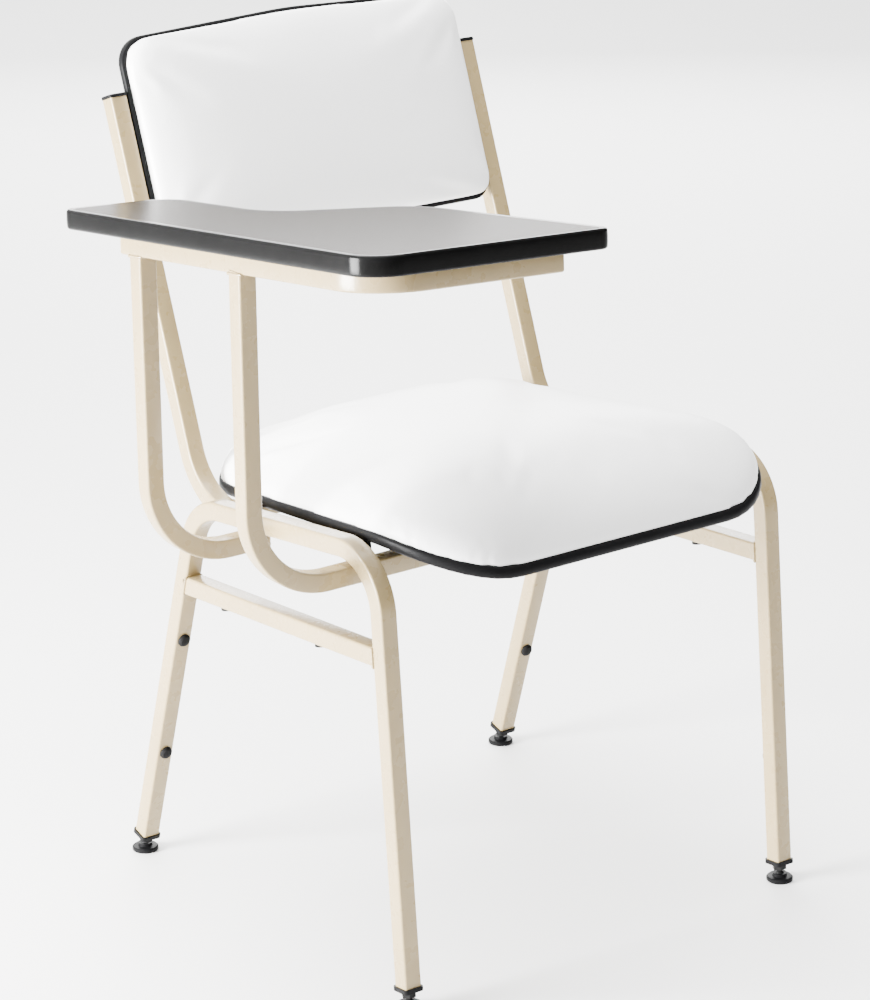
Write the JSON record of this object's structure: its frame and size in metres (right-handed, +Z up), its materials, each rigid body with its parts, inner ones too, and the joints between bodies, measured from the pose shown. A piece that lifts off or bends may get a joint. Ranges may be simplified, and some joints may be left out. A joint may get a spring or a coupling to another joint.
{
  "type": "student desk chair",
  "caption": "Student chair on a welded square-tube frame with padded seat and back, a fixed writing tablet on the sitter's right and levelling glides under the legs.",
  "frame": {"origin": "on the floor, under the middle of the bounding box of the whole chair", "axes": "+Z up; the sitter faces -Y; the tablet is on the sitter's right, the -X side"},
  "size_m": [0.6066, 0.6509, 0.8331],
  "materials": {
    "cream_paint": "glossy powder coat, warm cream",
    "black_plastic": "satin black",
    "black_rubber": "matt black",
    "black_edging": "glossy soft black moulding",
    "white_vinyl": "smooth white upholstery vinyl, slight sheen",
    "grey_laminate": "satin grey-beige laminate with a fine grain",
    "plywood": "raw",
    "chipboard": "raw",
    "black_steel": "black zinc, satin",
    "zinc_steel": "bright zinc"
  },
  "bodies": {
    "chair": {"right_side_arch": "cream_paint", "left_side_arch": "cream_paint", "right_stretcher": "cream_paint", "left_stretcher": "cream_paint", "right_back_upright": "cream_paint", "left_back_upright": "cream_paint", "rear_cross_tube": "cream_paint", "front_tablet_post": "cream_paint", "rear_tablet_post": "cream_paint", "tablet_rail": "cream_paint", "seat_tabs": "cream_paint", "back_tabs": "cream_paint", "rail_end_plugs": "cream_paint", "cross_tube_plug": "black_plastic", "seat_rail_plugs": "black_plastic", "upright_caps": "black_plastic", "seat_shell": "black_plastic", "back_shell": "black_plastic", "rear_leg_bumpers": "black_rubber", "front_leg_bumpers": "black_rubber", "stretcher_buffers": "black_rubber", "seat_board": "plywood", "back_board": "plywood", "seat_pad": "white_vinyl", "back_pad": "white_vinyl", "seat_screws": "zinc_steel", "seat_tee_nuts": "zinc_steel", "back_screws": "zinc_steel", "back_tee_nuts": "zinc_steel", "tablet_screws": "zinc_steel", "tablet_core": "chipboard", "tablet_laminate": "grey_laminate", "tablet_backing": "grey_laminate", "tablet_edging": "black_edging", "insert_front_right": "black_plastic", "insert_front_left": "black_plastic", "insert_rear_right": "black_plastic", "insert_rear_left": "black_plastic"},
    "front_right_stem": {"stem_front_right": "black_steel"},
    "front_right_collar": {"collar_front_right": "black_steel"},
    "front_right_base": {"base_front_right": "black_plastic"},
    "front_left_stem": {"stem_front_left": "black_steel"},
    "front_left_collar": {"collar_front_left": "black_steel"},
    "front_left_base": {"base_front_left": "black_plastic"},
    "rear_right_stem": {"stem_rear_right": "black_steel"},
    "rear_right_collar": {"collar_rear_right": "black_steel"},
    "rear_right_base": {"base_rear_right": "black_plastic"},
    "rear_left_stem": {"stem_rear_left": "black_steel"},
    "rear_left_collar": {"collar_rear_left": "black_steel"},
    "rear_left_base": {"base_rear_left": "black_plastic"}
  },
  "joints": [
    {"name": "front_right_levelling", "type": "slide", "parent": "chair", "child": "front_right_stem", "axis": [0, -0.0837, -0.9965], "range_m": [-0.002, 0.008]},
    {"name": "front_right_collar_turn", "type": "hinge", "parent": "front_right_stem", "child": "front_right_collar", "pos_m": [-0.167, -0.1807, 0.0065], "axis": [0, -0.0837, -0.9965], "range_deg": [-600, 2400]},
    {"name": "front_right_base_tilt", "type": "hinge", "parent": "front_right_stem", "child": "front_right_base", "pos_m": [-0.167, -0.1807, 0.0065], "axis": [1, 0, 0], "range_deg": [-10, 10]},
    {"name": "front_left_levelling", "type": "slide", "parent": "chair", "child": "front_left_stem", "axis": [0, -0.0837, -0.9965], "range_m": [-0.002, 0.008]},
    {"name": "front_left_collar_turn", "type": "hinge", "parent": "front_left_stem", "child": "front_left_collar", "pos_m": [0.29, -0.1807, 0.0065], "axis": [0, -0.0837, -0.9965], "range_deg": [-600, 2400]},
    {"name": "front_left_base_tilt", "type": "hinge", "parent": "front_left_stem", "child": "front_left_base", "pos_m": [0.29, -0.1807, 0.0065], "axis": [1, 0, 0], "range_deg": [-10, 10]},
    {"name": "rear_right_levelling", "type": "slide", "parent": "chair", "child": "rear_right_stem", "axis": [0, 0.2957, -0.9553], "range_m": [-0.002, 0.008]},
    {"name": "rear_right_collar_turn", "type": "hinge", "parent": "rear_right_stem", "child": "rear_right_collar", "pos_m": [-0.167, 0.2713, 0.0065], "axis": [0, 0.2957, -0.9553], "range_deg": [-600, 2400]},
    {"name": "rear_right_base_tilt", "type": "hinge", "parent": "rear_right_stem", "child": "rear_right_base", "pos_m": [-0.167, 0.2713, 0.0065], "axis": [1, 0, 0], "range_deg": [-10, 10]},
    {"name": "rear_left_levelling", "type": "slide", "parent": "chair", "child": "rear_left_stem", "axis": [0, 0.2957, -0.9553], "range_m": [-0.002, 0.008]},
    {"name": "rear_left_collar_turn", "type": "hinge", "parent": "rear_left_stem", "child": "rear_left_collar", "pos_m": [0.29, 0.2713, 0.0065], "axis": [0, 0.2957, -0.9553], "range_deg": [-600, 2400]},
    {"name": "rear_left_base_tilt", "type": "hinge", "parent": "rear_left_stem", "child": "rear_left_base", "pos_m": [0.29, 0.2713, 0.0065], "axis": [1, 0, 0], "range_deg": [-10, 10]}
  ],
  "couplings": [
    {"joint": "front_right_collar_turn", "follows": "front_right_levelling", "rad_per_m": 5026.5},
    {"joint": "front_left_collar_turn", "follows": "front_left_levelling", "rad_per_m": 5026.5},
    {"joint": "rear_right_collar_turn", "follows": "rear_right_levelling", "rad_per_m": 5026.5},
    {"joint": "rear_left_collar_turn", "follows": "rear_left_levelling", "rad_per_m": 5026.5}
  ]
}
